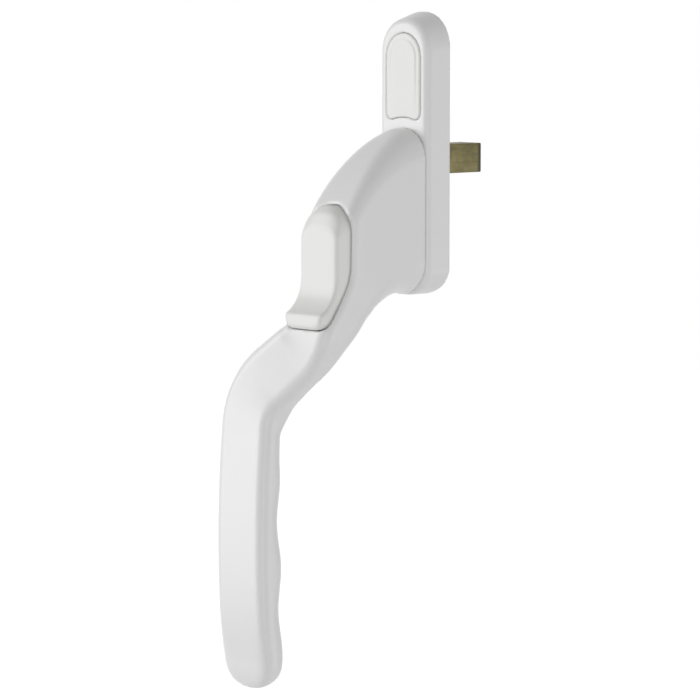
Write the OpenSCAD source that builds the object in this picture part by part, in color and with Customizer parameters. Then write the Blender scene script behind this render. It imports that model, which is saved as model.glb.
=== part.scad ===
// Casement window fastener with a push button
//
// Millimetres. The origin is on the spindle axis at the back of the plate.
// +Z is up, -Y points into the room, +Y into the window and X to the right.
// Depths named "out" are measured from the back of the plate towards the room.

/* [Base plate] */
// Height of the plate above the spindle axis
plate_top = 35; // [34:0.2:40]
// Height of the plate below the spindle axis
plate_bottom = 32.1; // [31:0.1:36]
// Width of the plate at the back
plate_width = 18.6; // [18.4:0.1:22]
// Thickness of the plate
plate_thickness = 6.6; // [6.5:0.1:9]
// Draft of the plate's sides in degrees
plate_draft = 11; // [6:0.5:11.5]
// Radius along the plate's front edge
plate_fillet = 1.4; // [0.8:0.1:1.5]

/* [Fixing] */
// Distance between the two fixing screws
fixing_centres = 43; // [42.4:0.1:44]
// Diameter of the fixing holes
fixing_hole = 5.3; // [4.8:0.1:5.6]
// Diameter of the countersunk screw head
screw_head = 10; // [9:0.1:10.2]

/* [Cover cap] */
// Width of the cap
cap_width = 11.4; // [11:0.1:11.8]
// Height of the cap
cap_height = 20.4; // [20:0.1:21.4]
// Height of the cap's lower edge above the spindle axis
cap_foot = 9.5; // [9.2:0.1:10]
// How far the cap stands proud of the plate
cap_proud = 0.2; // [0.05:0.05:0.25]

/* [Spindle] */
// Size of the square spindle
spindle_size = 7; // [6:0.5:7]
// Length of the spindle behind the plate
spindle_length = 16; // [8:1:45]

/* [Lever] */
// Width of the lever at its boss and knuckle
boss_width = 16.1; // [15.9:0.1:17]
// Height of the boss above the spindle axis
boss_top = 7.6; // [7.6:0.1:8.4]
// Width of the grip
grip_width = 17.4; // [16.4:0.1:18]
// Depth of the grip from front to back
grip_depth = 7.2; // [6.8:0.1:8]
// Distance of the grip's front from the window
grip_reach = 42.8; // [42:0.2:46]
// Distance of the grip's middle to the left of the plate's middle
grip_offset = 17.7; // [16:0.1:20]
// Distance of the lever's tip below the spindle axis
lever_drop = 125; // [117:1:135]
// Depth of the finger waves on the back of the grip
wave_depth = 1.1; // [0:0.1:1.6]
// Distance from one finger wave to the next
wave_pitch = 21; // [18:0.5:24]

/* [Push button] */
// Width of the button
button_width = 13.6; // [13:0.1:13.8]
// Travel of the button
button_travel = 3; // [2:0.1:3]
// How far the button's face stands in front of its seat
button_proud = 3.6; // [3.3:0.1:3.8]

/* [Hidden] */
$fn = 48;
// Clearances between moving faces, pressed pieces and sliding pieces
run_gap = 0.3;
turn_fit = 0.05;
slide_gap = 0.25;
rest_gap = 0.05;

// Plate
draft_rate = tan(plate_draft);
plate_half = plate_width / 2;
plate_toe = 7;
top_slope = 0.12;
top_fullness = 2.2;
arc_steps = 24;
fillet_steps = 4;
fix_up = fixing_centres / 2;
hole_r = fixing_hole / 2;
head_r = screw_head / 2;
head_depth = head_r - hole_r;
cap_recess = 2.6;
cap_corner = 1.8;
foot_wave = 0.6;
foot_wave_r = 12;
panel_inset = 1.4;
panel_rise = 0.1;
cap_floor = plate_thickness - cap_recess;
room_depth = 4;
room_half = 7.2;
room_end = 13;
spring_room = 2.5;
cover_half = 8.2;
cover_gap = 0.05;
cover_end = 16.4;
cover_inset = 0.1;
cover_sheet = 0.8;
rivet_up = 14.8;
rivet_r = 0.9;
rivet_depth = 3.4;

// Hub and its bearing
hub_r = 5.7;
bush_wall = 0.65;
bush_flange = 0.55;
bush_flange_r = 7;
washer_sheet = 0.4;
washer_r = 6.9;
clip_sheet = 0.7;
clip_r = 6.8;
clip_seat = 5.15;
hub_flat = 4.7;
bush_back = room_depth - bush_flange;
washer_back = bush_back - rest_gap - washer_sheet;
clip_back = washer_back - rest_gap - clip_sheet;
groove_back = clip_back - rest_gap;
hub_end = cover_inset + cover_sheet + rest_gap;
leaf = 0.8;
leaf_depth = groove_back - 2 * rest_gap - hub_end;

// Lever
lever_back = plate_thickness + run_gap;
boss_half = boss_width / 2;
grip_half = grip_width / 2;
glide_r = 6.9;
glide_sheet = 1;
glide_gap = 0.1;
spindle_half = spindle_size / 2;
spindle_hold = 6;
pin_depth = 3.4;
spindle_front = lever_back + spindle_hold;
pin_out = lever_back + pin_depth;
pin_r = 1.25;
pin_top = 4.4;
core_top = -8.6;
core_bottom = -28;
core_half = 5;
core_depth = 10.9;
neck_reach = 23.2;
core_front = lever_back + core_depth;
seat_out = lever_back + neck_reach;
seat_top = -11.2;
seat_bottom = -23.5;
tip_length = 7;

// Button
button_half = button_width / 2;
button_top = -9.9;
button_foot = -38.2;
face_out = seat_out + button_proud;
lip_reach = 4.9;
lip_out = face_out + lip_reach;
scoop_r = 9.3;
scoop_up = -26.6;
skirt_depth = 7.5;
heel_rise = 7;
skirt_out = face_out - skirt_depth;
heel_out = skirt_out + heel_rise;
heel_up = -36.2;
knee_up = -30;
button_corner = 1.8;
button_wall = 1.6;
rim_depth = 3.7;
crown_depth = 1.4;
crown_draft = 0.15;
crown_top = -11.2;
crown_arch = 5.5;
crown_fullness = 2.6;
face_draft = 0.3;
face_top = -14.6;
face_arch = 3.3;
button_shell = 2;
pocket_spare = 0.4;
pocket_sink = button_travel + pocket_spare;
pocket_floor = skirt_out - pocket_sink;
button_ceiling = face_out - button_shell;
rim_out = face_out - rim_depth;
face_half = button_half - face_draft;
stem_up = -18.4;
stem_r = 1.75;
stem_reach = 4.4;
stem_press = 1;
stem_end = core_front - stem_reach;
guide_r = 3;
guide_flange_r = 3.9;
guide_flange = 0.8;
stem_boss_r = 2.5;
stem_boss = 2.6;
hollow_top = stem_up + guide_flange_r + pocket_spare;
hollow_rim = 2.4;
hollow_bottom = knee_up + hollow_rim;
stem_clip_sheet = 0.6;
stem_clip_r = 3.6;
stem_neck_r = 1.3;
spring_wire = 0.35;
spring_r = 3.2;
spring_turns = 3.5;
spring_foot = pocket_floor + guide_flange + rest_gap;
spring_length = button_ceiling - rest_gap - spring_foot;
spring_gap = (spring_length - button_travel - 2 * spring_wire) / spring_turns - 2 * spring_wire;

// Latch
pivot_depth = 4.4;
pivot_out = lever_back + pivot_depth;
pivot_up = -15;
pivot_r = 1;
pivot_half = 6.4;
latch_half = 2.6;
latch_sheet = 0.8;
nose_up = -10.6;
nose_depth = 1.6;
keep_depth = 1.9;
latch_out = pivot_out + pivot_r + turn_fit;
latch_foot = -20.6;

// Piece to draw

// Turns a shape drawn flat with its height along Z so that it stands out from the window
module stand(out = 0) {
  translate([0, -out, 0])
    rotate([90, 0, 0])
      children();
}

// A side view drawn as out and up, given a thickness across the lever
module across(half) {
  rotate([90, 0, -90])
    translate([0, 0, -half])
      linear_extrude(2 * half)
        children();
}

// Point on a cubic curve with four control points
function curve(p, t) =
  pow(1 - t, 3) * p[0] + 3 * pow(1 - t, 2) * t * p[1] + 3 * (1 - t) * t * t * p[2] + t * t * t * p[3];

function mix(a, b, t) = a + (b - a) * t;

// Triangles between rings of the same number of points, with both ends closed
function skin(rings, n) = concat(
  [[for (j = [0 : n - 1]) j]],
  [for (i = [0 : rings - 2]) for (j = [0 : n - 1]) [i * n + j, (i + 1) * n + j, (i + 1) * n + (j + 1) % n]],
  [for (i = [0 : rings - 2]) for (j = [0 : n - 1]) [i * n + j, (i + 1) * n + (j + 1) % n, i * n + (j + 1) % n]],
  [[for (j = [n - 1 : -1 : 0]) (rings - 1) * n + j]]);

// Makes an arc a little fuller than a circle
function full(c, n) = sign(c) * pow(abs(c), 2 / n);

// Outline of the plate at one depth, drawn in from the back outline
function plate_ring(out, side, toe) = concat(
  [for (i = [0 : arc_steps])
    let (a = 180 * i / arc_steps, r = plate_half - side, up = plate_top - plate_half - top_slope * out)
    [r * full(cos(a), top_fullness), -out, up + r * full(sin(a), top_fullness)]],
  [for (i = [0 : arc_steps])
    let (a = 180 + 180 * i / arc_steps, r = plate_half - side)
    [r * cos(a), -out, plate_toe - plate_bottom + (plate_toe - toe) * sin(a)]]);

plate_levels = concat(
  [[0, 0, 0]],
  [for (i = [0 : fillet_steps])
    let (a = 90 * i / fillet_steps, rise = plate_thickness - plate_fillet * (1 - sin(a)))
    [rise, rise * draft_rate + plate_fillet * (1 - cos(a)), plate_fillet * (1 - cos(a))]]);

module plate_blank() {
  points = [for (l = plate_levels) each plate_ring(l[0], l[1], l[2])];
  polyhedron(points, skin(len(plate_levels), 2 * arc_steps + 2));
}

// Arched outline of the cap with its waved foot, drawn larger by a margin
module cap_outline(margin) {
  r = cap_width / 2;
  difference() {
    union() {
      translate([0, cap_foot + cap_height - r])
        circle(r + margin);
      translate([-r - margin, cap_foot + cap_corner])
        square([cap_width + 2 * margin, cap_height - r - cap_corner]);
      translate([cap_corner - r, cap_foot - margin])
        square([cap_width - 2 * cap_corner, cap_corner + abs(margin)]);
      for (side = [-1, 1])
        translate([side * (r - cap_corner), cap_foot + cap_corner])
          circle(cap_corner + margin);
    }
    translate([0, cap_foot + foot_wave - foot_wave_r])
      circle(foot_wave_r - margin);
  }
}

module countersink(out, up) {
  stand()
    translate([0, up, -1])
      cylinder(r = hole_r, h = plate_thickness + 2);
  stand()
    translate([0, up, out - head_depth])
      cylinder(r1 = hole_r, r2 = head_r, h = head_depth);
  stand()
    translate([0, up, out])
      cylinder(r = head_r, h = plate_thickness);
}

clip_width = 3;
clip_thick = 1.1;
clip_long = 2;
clip_low = cap_foot + 1.3;
clip_high = cap_foot + cap_height - 2.6;

// Legs of the cap, or their slots when drawn larger by a margin
module cap_legs(margin) {
  for (up = [clip_low, clip_high])
    stand(cap_floor - clip_long - margin)
      translate([-clip_width / 2 - margin, up - clip_thick / 2 - margin, 0])
        cube([clip_width + 2 * margin, clip_thick + 2 * margin, clip_long + margin + 0.2]);
}

module base_plate() {
  color("white")
    difference() {
      plate_blank();
      stand(cap_floor)
        linear_extrude(plate_thickness)
          cap_outline(slide_gap);
      cap_legs(slide_gap);
      countersink(cap_floor, fix_up);
      countersink(plate_thickness, -fix_up);
      stand(-1)
        cylinder(r = hub_r + turn_fit + bush_wall, h = plate_thickness + 2);
      stand(-1)
        cylinder(r = room_half, h = room_depth + 1);
      stand(-1)
        linear_extrude(spring_room + 1)
          square([2 * room_half, 2 * room_end], center = true);
      stand(-1)
        linear_extrude(cover_inset + cover_sheet + 1)
          square([2 * (cover_half + cover_gap), 2 * (cover_end + cover_gap)], center = true);
      for (up = [-rivet_up, rivet_up])
        stand(0)
          translate([0, up, 0])
            cylinder(r = rivet_r, h = rivet_depth);
      stand(plate_thickness - keep_depth)
        translate([-latch_half - slide_gap, nose_up - latch_sheet / 2 - slide_gap, 0])
          cube([2 * latch_half + 2 * slide_gap, latch_sheet + 2 * slide_gap, keep_depth + 1]);
    }
}

module cover_cap() {
  shell = 1.5;
  front = cap_recess + cap_proud;
  color("white") {
    difference() {
      stand(cap_floor + rest_gap)
        linear_extrude(front - rest_gap)
          cap_outline(0);
      stand(cap_floor - 1)
        translate([0, fix_up, 0])
          cylinder(r = cap_width / 2 - shell, h = front - shell + 1);
    }
    stand(cap_floor + front - panel_rise)
      linear_extrude(2 * panel_rise)
        cap_outline(-panel_inset);
    cap_legs(0);
  }
}

module bearing_bush() {
  color("dimgray")
    stand(bush_back)
      difference() {
        union() {
          cylinder(r = hub_r + turn_fit + bush_wall, h = plate_thickness - bush_back);
          cylinder(r = bush_flange_r, h = bush_flange);
        }
        translate([0, 0, -1])
          cylinder(r = hub_r + turn_fit, h = plate_thickness + 2);
      }
}

module hub_washer() {
  color("silver")
    stand(washer_back)
      difference() {
        cylinder(r = washer_r, h = washer_sheet);
        translate([0, 0, -1])
          cylinder(r = hub_r + turn_fit, h = washer_sheet + 2);
      }
}

module hub_circlip() {
  gap_half = 2;
  color("gray")
    stand(clip_back)
      difference() {
        cylinder(r = clip_r, h = clip_sheet);
        translate([0, 0, -1])
          cylinder(r = clip_seat + rest_gap, h = clip_sheet + 2);
        translate([-gap_half, 0, -1])
          cube([2 * gap_half, clip_r + 1, clip_sheet + 2]);
      }
}

module index_spring() {
  inner = hub_flat + rest_gap;
  bend_up = -6;
  leg_top = 11;
  hook = 1.2;
  color("slategray")
    stand(hub_end) {
      for (side = [-1, 1])
        translate([side * (inner + leaf / 2) - leaf / 2, bend_up, 0])
          cube([leaf, leg_top - bend_up, leaf_depth]);
      for (side = [-1, 1])
        translate([side * (inner + leaf + hook / 2 - 0.1) - hook / 2, leg_top - leaf, 0])
          cube([hook, leaf, leaf_depth]);
      translate([0, bend_up, 0])
        rotate([0, 0, 180])
          rotate_extrude(angle = 180)
            translate([inner, 0])
              square([leaf, leaf_depth]);
    }
}

module back_cover() {
  color("silver")
    stand(cover_inset)
      difference() {
        linear_extrude(cover_sheet)
          square([2 * cover_half, 2 * cover_end], center = true);
        translate([0, 0, -1])
          cylinder(r = spindle_half * sqrt(2) + run_gap, h = cover_sheet + 2);
        for (up = [-rivet_up, rivet_up])
          translate([0, up, -1])
            cylinder(r = rivet_r, h = cover_sheet + 2);
      }
}

module back_rivet(up) {
  color("gray")
    stand(cover_inset)
      translate([0, up, 0])
        cylinder(r = rivet_r, h = rivet_depth - cover_inset);
}

module back_rivet_upper() {
  back_rivet(rivet_up);
}

module back_rivet_lower() {
  back_rivet(-rivet_up);
}

// Front rail of the lever, from the top of the boss to the tip, as out and up
neck_lead = 7;
neck_level = 6.8;
brow_setback = 6.5;
brow_level = -0.9;
seat_swell = 0.4;
seat_swell_level = -14;
seat_low_level = -18.5;
bend_level = -30;
bend_end_out = 6.2;
bend_end_level = -36.4;
crank_out = 8.1;
crank_level = -38.9;
crank_setback = 3.4;
crank_end_level = -46;
shoulder_setback = 0.8;
shoulder_level = -54;
grip_setback = 0.6;
grip_level = -64;
belly = 1;
belly_level = -80;
belly_low = 1.2;
belly_rise = 20;
tip_setback = 1.1;
seat_corner = [seat_out, seat_top];
seat_end = [seat_out, seat_bottom];
crank_front = [seat_out + crank_out, crank_level];
grip_start = [grip_reach - grip_setback, grip_level];
grip_end = [grip_reach - tip_setback, tip_length - lever_drop];
front_neck = [[lever_back, boss_top], [lever_back + neck_lead, neck_level],
  [seat_out - brow_setback, brow_level], seat_corner];
front_seat = [seat_corner, [seat_out + seat_swell, seat_swell_level],
  [seat_out, seat_low_level], seat_end];
front_bend = [seat_end, [seat_out, bend_level],
  [seat_out + bend_end_out, bend_end_level], crank_front];
front_crank = [crank_front, [grip_reach - crank_setback, crank_end_level],
  [grip_reach - shoulder_setback, shoulder_level], grip_start];
front_grip = [grip_start, [grip_reach + belly, belly_level],
  [grip_reach + belly_low, belly_rise - lever_drop], grip_end];

// Back rail, from the bottom of the boss to the tip
toe_gap = 0.1;
toe_lead = 3.9;
toe_level = -30.7;
instep_lead = 9;
instep_level = -31.1;
arm_lead = 13.6;
arm_level = -34.1;
arm_mid_lead = 19.8;
arm_mid_level = -39.3;
arm_bend_lead = 22.8;
arm_bend_level = -41.5;
arm_low_out = 2.2;
arm_low_level = -44.2;
arm_end_out = 2.3;
arm_end_level = -48;
palm_setback = 3;
palm_level = -51;
palm_end_setback = 3.3;
palm_end_level = -57;
hold_level = -64.4;
hold_out = grip_reach - grip_depth;
arm_start = [lever_back + arm_lead, arm_level];
arm_mid = [lever_back + arm_mid_lead, arm_mid_level];
arm_end = [seat_out + arm_end_out, arm_end_level];
hold_start = [hold_out, hold_level];
hold_end = [hold_out, grip_end[1]];
back_neck = [[lever_back, toe_gap - plate_bottom], [lever_back + toe_lead, toe_level],
  [lever_back + instep_lead, instep_level], arm_start];
back_arm = [arm_start, mix(arm_start, arm_mid, 1 / 3), mix(arm_start, arm_mid, 2 / 3), arm_mid];
back_bend = [arm_mid, [lever_back + arm_bend_lead, arm_bend_level],
  [seat_out + arm_low_out, arm_low_level], arm_end];
back_crank = [arm_end, [hold_out - palm_setback, palm_level],
  [hold_out - palm_end_setback, palm_end_level], hold_start];

// The back rail as one line: 0 at the boss, then 1, 2, 3 and 4 at the ends of its curves
back_rails = [back_neck, back_arm, back_bend, back_crank];
function back_line(u) =
  let (i = min(floor(u), len(back_rails) - 1))
  curve(back_rails[i], u - i);

function smooth(t) = t <= 0 ? 0 : t >= 1 ? 1 : t * t * (3 - 2 * t);

// Finger waves on the back of the grip, which leans back towards its end
hold_lean = 0.9;
wave_fade = 14;
wave_level = -74.3;
function hold(t) =
  let (
    up = mix(hold_start[1], hold_end[1], t),
    fade = smooth((hold_start[1] - up) / wave_fade),
    wave = 1 - cos(360 * (up - wave_level) / wave_pitch))
  [hold_out - hold_lean * t * t + wave_depth / 2 * fade * wave, up];

// The crank carries the grip to the left: an arc, a straight slant and an arc back
crank_angle = 52;
crank_start = -36.5;
crank_upper_r = 10.2;
crank_lower_r = 15.9;
crank_slant = (grip_offset - (crank_upper_r + crank_lower_r) * (1 - cos(crank_angle))) / sin(crank_angle);
slant_start = crank_upper_r * sin(crank_angle);
slant_end = slant_start + crank_slant * cos(crank_angle);
crank_drop = slant_end + crank_lower_r * sin(crank_angle);
function crank_turn(drop) =
  drop <= 0 || drop >= crank_drop ? 0 :
  drop < slant_start ? asin(drop / crank_upper_r) :
  drop < slant_end ? crank_angle :
  asin((crank_drop - drop) / crank_lower_r);
function crank_shift(drop) =
  drop <= 0 ? 0 :
  drop < slant_start ? crank_upper_r * (1 - cos(crank_turn(drop))) :
  drop < slant_end ? crank_upper_r * (1 - cos(crank_angle)) + (drop - slant_start) * tan(crank_angle) :
  grip_offset - crank_lower_r * (1 - cos(crank_turn(drop)));

// A point of the straight lever, carried aside by the crank
function aside(x, out, up) =
  let (drop = crank_start - up, a = crank_turn(drop))
  [x * cos(a) - crank_shift(drop), -out, up - x * sin(a)];

corner_steps = 7;
ring_size = 4 * (corner_steps + 1);

// Rounded section between a front and a back point
function ring(f, b, half, rf, rb) =
  let (
    long = norm(f - b),
    n = (f - b) / long,
    rx = min(rf, half - 0.01),
    bx = min(rb, half - 0.01),
    centres = [[half - rx, long - rx, rx, 0], [rx - half, long - rx, rx, 90],
      [bx - half, bx, bx, 180], [half - bx, bx, bx, 270]])
  [for (c = centres) for (k = [0 : corner_steps])
    let (
      a = c[3] + 90 * k / corner_steps,
      x = c[0] + c[2] * cos(a),
      q = c[1] + c[2] * sin(a),
      p = b + n * q)
    aside(x, p[0], p[1])];

// Sections along the lever: front curve, span of the back rail, steps, half widths and corner radii at the ends
function stretch(front, span, steps, w, rf, rb) =
  [for (i = [0 : steps - 1])
    let (t = i / steps, b = back_line(mix(span[0], span[1], t)))
    ring(curve(front, t), b, mix(w[0], w[1], t), mix(rf[0], rf[1], smooth(t)), mix(rb[0], rb[1], t))];

// Radii of the lever's front and back edges from boss to grip
boss_edge = boss_half - toe_gap;
neck_edge = 3.2;
seat_edge = 2.6;
bend_edge = 2.6;
grip_edge = 2.3;
toe_edge = boss_half - toe_gap;
instep_edge = 5.6;
arm_edge = 3.9;
palm_edge = 2.8;
hold_edge = 3.4;
arm_half = boss_half - 0.55;
instep_at = 0.5;
arm_at = 0.85;
bend_at = 2.25;

function grip_rings(steps) =
  [for (i = [0 : steps - 1])
    let (t = i / steps)
    ring(curve(front_grip, t), hold(t), grip_half, grip_edge, hold_edge)];

// Rounded tip, drawn in towards its end
tip_lean = 0.5;
tip_turn = 86;
tip_side = 0.7;
tip_front = 0.5;
function tip_rings(steps) =
  [for (i = [0 : steps])
    let (
      a = tip_turn * i / steps,
      f = grip_end,
      b = hold(1),
      m = (f + b) / 2,
      go = [tip_lean * sin(a), -tip_length * sin(a)],
      keep = pow(cos(a), tip_front))
    ring(
      m + (f - m) * keep + go,
      m + (b - m) * keep + go,
      grip_half * pow(cos(a), tip_side), grip_edge * keep, hold_edge * keep)];

lever_rings = concat(
  stretch(front_neck, [0, instep_at], 9, [boss_half, boss_half],
    [boss_edge, neck_edge], [toe_edge, instep_edge]),
  stretch(front_seat, [instep_at, arm_at], 4, [boss_half, boss_half],
    [neck_edge, seat_edge], [instep_edge, arm_edge]),
  stretch(front_bend, [arm_at, bend_at], 12, [boss_half, arm_half], [seat_edge, bend_edge], [arm_edge, palm_edge]),
  stretch(front_crank, [bend_at, 4], 16, [arm_half, grip_half], [bend_edge, grip_edge], [palm_edge, hold_edge]),
  grip_rings(20),
  tip_rings(8));

module lever_blank() {
  points = [for (r = lever_rings) each r];
  polyhedron(points, skin(len(lever_rings), ring_size));
}

// Outline of the button seen from the room, drawn larger by a margin
module button_outline(margin) {
  translate([0, button_top - button_half])
    circle(button_half + margin);
  translate([-button_half - margin, button_foot + button_corner])
    square([button_width + 2 * margin, button_top - button_half - button_foot - button_corner]);
  translate([button_corner - button_half, button_foot - margin])
    square([button_width - 2 * button_corner, button_corner + 2 * margin]);
  for (side = [-1, 1])
    translate([side * (button_half - button_corner), button_foot + button_corner])
      circle(button_corner + margin);
}

// The button's outline at one depth: an arch over straight sides, with small corners at the foot
function button_ring(out, half, top, arch, fullness = 2) = concat(
  [for (i = [0 : arc_steps])
    let (a = 180 * i / arc_steps)
    [half * full(cos(a), fullness), -out, top - arch + arch * full(sin(a), fullness)]],
  [for (side = [-1, 1]) for (i = [0 : corner_steps])
    let (a = 225 + 45 * side + 90 * i / corner_steps)
    [side * (half - button_corner) + button_corner * cos(a), -out,
      button_foot + button_corner * (1 + sin(a))]]);

// The button drawn in from its rim to its face
button_rings = [
  button_ring(skirt_out - 1, button_half, button_top, button_half),
  button_ring(rim_out, button_half, button_top, button_half),
  button_ring(face_out - crown_depth, button_half - crown_draft, crown_top, crown_arch, crown_fullness),
  button_ring(face_out, face_half, face_top, face_arch),
  button_ring(lip_out + 1, face_half, face_top, face_arch)];

module button_blank() {
  points = [for (r = button_rings) each r];
  polyhedron(points, skin(len(button_rings), len(button_rings[0])));
}

// Side view of the button's back, sunk by a distance, out to the front
module button_back(sink, front) {
  polygon([[front, button_top + 1], [skirt_out - sink, button_top + 1], [skirt_out - sink, knee_up],
    [heel_out - sink, heel_up], [heel_out - sink, button_foot - 1], [front, button_foot - 1]]);
}

module lever() {
  color("white")
    difference() {
      union() {
        lever_blank();
        stand(groove_back)
          cylinder(r = hub_r, h = spindle_front - groove_back);
        intersection() {
          stand(hub_end)
            cylinder(r = hub_r, h = groove_back - hub_end + 0.1);
          stand(hub_end)
            translate([-hub_flat, -hub_flat, 0])
              cube([2 * hub_flat, 2 * hub_flat, groove_back - hub_end + 0.1]);
        }
      }
      stand(clip_back - rest_gap)
        difference() {
          cylinder(r = hub_r + 1, h = clip_sheet + 2 * rest_gap);
          translate([0, 0, -1])
            cylinder(r = clip_seat, h = clip_sheet + 3);
        }
      stand(lever_back - 1)
        difference() {
          cylinder(r = glide_r + glide_gap, h = glide_sheet - run_gap + 1);
          translate([0, 0, -1])
            cylinder(r = hub_r, h = glide_sheet + 3);
        }
      stand(0)
        translate([-spindle_half, -spindle_half, 0])
          cube([spindle_size, spindle_size, spindle_front]);
      stand(pin_out)
        translate([0, core_top - 1, 0])
          rotate([-90, 0, 0])
            cylinder(r = pin_r, h = pin_top - core_top + 1);
      stand(lever_back - 1)
        translate([-core_half, core_bottom, 0])
          cube([2 * core_half, core_top - core_bottom, core_front - lever_back + 1]);
      stand(lever_back - 1)
        translate([-pivot_half, pivot_up - pivot_r, 0])
          cube([2 * pivot_half, 2 * pivot_r, pivot_out - lever_back + 1]);
      stand(pivot_out)
        translate([-pivot_half, pivot_up, 0])
          rotate([0, 90, 0])
            cylinder(r = pivot_r, h = 2 * pivot_half);
      stand(core_front - 1)
        translate([0, stem_up, 0])
          cylinder(r = guide_r, h = pocket_floor - core_front + 2);
      intersection() {
        stand(pocket_floor - 1)
          linear_extrude(lip_out)
            button_outline(slide_gap);
        across(boss_half)
          button_back(pocket_sink, lip_out + 10);
      }
    }
}

module glide_washer() {
  color("dimgray")
    stand(plate_thickness + rest_gap)
      difference() {
        cylinder(r = glide_r, h = glide_sheet - 2 * rest_gap);
        translate([0, 0, -1])
          cylinder(r = hub_r + turn_fit, h = glide_sheet + 2);
      }
}

module spindle() {
  color("darkkhaki")
    difference() {
      translate([-spindle_half, -spindle_front, -spindle_half])
        cube([spindle_size, spindle_front + spindle_length, spindle_size]);
      stand(pin_out)
        translate([0, -spindle_half - 1, 0])
          rotate([-90, 0, 0])
            cylinder(r = pin_r, h = spindle_size + 2);
    }
}

module spindle_pin() {
  color("gray")
    stand(pin_out)
      translate([0, core_top, 0])
        rotate([-90, 0, 0])
          difference() {
            cylinder(r = pin_r, h = pin_top - core_top);
            translate([0, 0, -1])
              cylinder(r = pin_r / 2, h = pin_top - core_top + 2);
          }
}

module push_button() {
  color("white")
    difference() {
      intersection() {
        button_blank();
        across(boss_half)
          difference() {
            intersection() {
              button_back(0, lip_out);
              union() {
                translate([0, button_foot])
                  square([face_out, button_top - button_foot]);
                translate([0, button_foot])
                  square([lip_out, scoop_up - button_foot]);
              }
            }
            translate([face_out + scoop_r, scoop_up])
              circle(scoop_r);
          }
      }
      difference() {
        stand(skirt_out - 1)
          translate([button_wall - button_half, hollow_bottom, 0])
            cube([button_width - 2 * button_wall, hollow_top - hollow_bottom, button_ceiling - skirt_out + 1]);
        stand(button_ceiling - stem_boss)
          translate([0, stem_up, 0])
            cylinder(r = stem_boss_r, h = stem_boss + 1);
      }
      stand(button_ceiling - stem_boss - 1)
        translate([0, stem_up, 0])
          cylinder(r = stem_r, h = stem_boss + 1 + stem_press);
    }
}

module button_stem() {
  clip_out = core_front - rest_gap - stem_clip_sheet;
  color("silver")
    stand()
      translate([0, stem_up, 0])
        difference() {
          translate([0, 0, stem_end])
            cylinder(r = stem_r, h = button_ceiling + stem_press - stem_end);
          translate([0, 0, clip_out - rest_gap])
            difference() {
              cylinder(r = stem_r + 1, h = stem_clip_sheet + 2 * rest_gap);
              translate([0, 0, -1])
                cylinder(r = stem_neck_r, h = stem_clip_sheet + 3);
            }
        }
}

module stem_guide() {
  color("dimgray")
    stand()
      translate([0, stem_up, 0])
        difference() {
          union() {
            translate([0, 0, core_front])
              cylinder(r = guide_r, h = pocket_floor - core_front);
            translate([0, 0, pocket_floor])
              cylinder(r = guide_flange_r, h = guide_flange);
          }
          translate([0, 0, core_front - 1])
            cylinder(r = stem_r + turn_fit, h = pocket_floor);
        }
}

module stem_clip() {
  gap_half = 1.2;
  color("gray")
    stand(core_front - rest_gap - stem_clip_sheet)
      translate([0, stem_up, 0])
        difference() {
          cylinder(r = stem_clip_r, h = stem_clip_sheet);
          translate([0, 0, -1])
            cylinder(r = stem_neck_r + rest_gap, h = stem_clip_sheet + 2);
          translate([-gap_half, 0, -1])
            cube([2 * gap_half, stem_clip_r + 1, stem_clip_sheet + 2]);
        }
}

coil_steps = 8;
wire_sides = 6;
coil_rings = coil_steps * spring_turns + 1;
echo(spring_gap = spring_gap);

// One unbroken wire wound round the stem
module button_spring() {
  points = [for (i = [0 : coil_rings - 1]) for (k = [0 : wire_sides - 1])
    let (
      a = 360 * i / coil_steps,
      s = -360 * k / wire_sides,
      r = spring_r + spring_wire * cos(s),
      rise = spring_foot + spring_wire + (spring_length - 2 * spring_wire) * i / (coil_rings - 1))
    [r * cos(a), -rise - spring_wire * sin(s), stem_up + r * sin(a)]];
  color("slategray")
    polyhedron(points, skin(coil_rings, wire_sides));
}

module latch_spring() {
  eye_r = pivot_r + turn_fit + latch_sheet;
  finger_half = 1.5;
  finger_tip = core_front - rest_gap;
  color("slategray") {
    stand(latch_out)
      translate([-latch_half, latch_foot, 0])
        cube([2 * latch_half, nose_up + latch_sheet / 2 - latch_foot, latch_sheet]);
    stand(plate_thickness - nose_depth)
      translate([-latch_half, nose_up - latch_sheet / 2, 0])
        cube([2 * latch_half, latch_sheet, latch_out + latch_sheet - plate_thickness + nose_depth]);
    difference() {
      stand(pivot_out)
        translate([-latch_half, pivot_up, 0])
          rotate([0, 90, 0])
            cylinder(r = eye_r, h = 2 * latch_half);
      stand(pivot_out)
        translate([-latch_half - 1, pivot_up, 0])
          rotate([0, 90, 0])
            cylinder(r = pivot_r + turn_fit, h = 2 * latch_half + 2);
    }
    across(finger_half)
      polygon([[latch_out, nose_up - 2], [finger_tip, core_top - 1.6], [finger_tip, core_top - 1],
        [latch_out, nose_up - 1.4]]);
  }
}

module latch_pivot() {
  color("silver")
    stand(pivot_out)
      translate([-pivot_half + rest_gap, pivot_up, 0])
        rotate([0, 90, 0])
          cylinder(r = pivot_r, h = 2 * pivot_half - 2 * rest_gap);
}

base_plate();
cover_cap();
bearing_bush();
hub_washer();
hub_circlip();
index_spring();
back_cover();
back_rivet_upper();
back_rivet_lower();
lever();
glide_washer();
spindle();
spindle_pin();
push_button();
button_stem();
stem_guide();
stem_clip();
button_spring();
latch_spring();
latch_pivot();
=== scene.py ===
# %% [markdown]
# # A casement window fastener with a push button
#
# This is the handle of an outward opening window. A narrow plate is screwed to the
# sash, a cranked lever turns on it, and a button in the lever's knuckle frees the
# catch. A square bar at the back drives the bolts inside the frame.
#
# The working model is loaded first and stays as it is. Each piece that shows is then
# modelled again with softer edges and a proper finish, in the same place and at the
# same size. All lengths below are written in millimetres and turned into metres.

# %% Load the working model
import math

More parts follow.
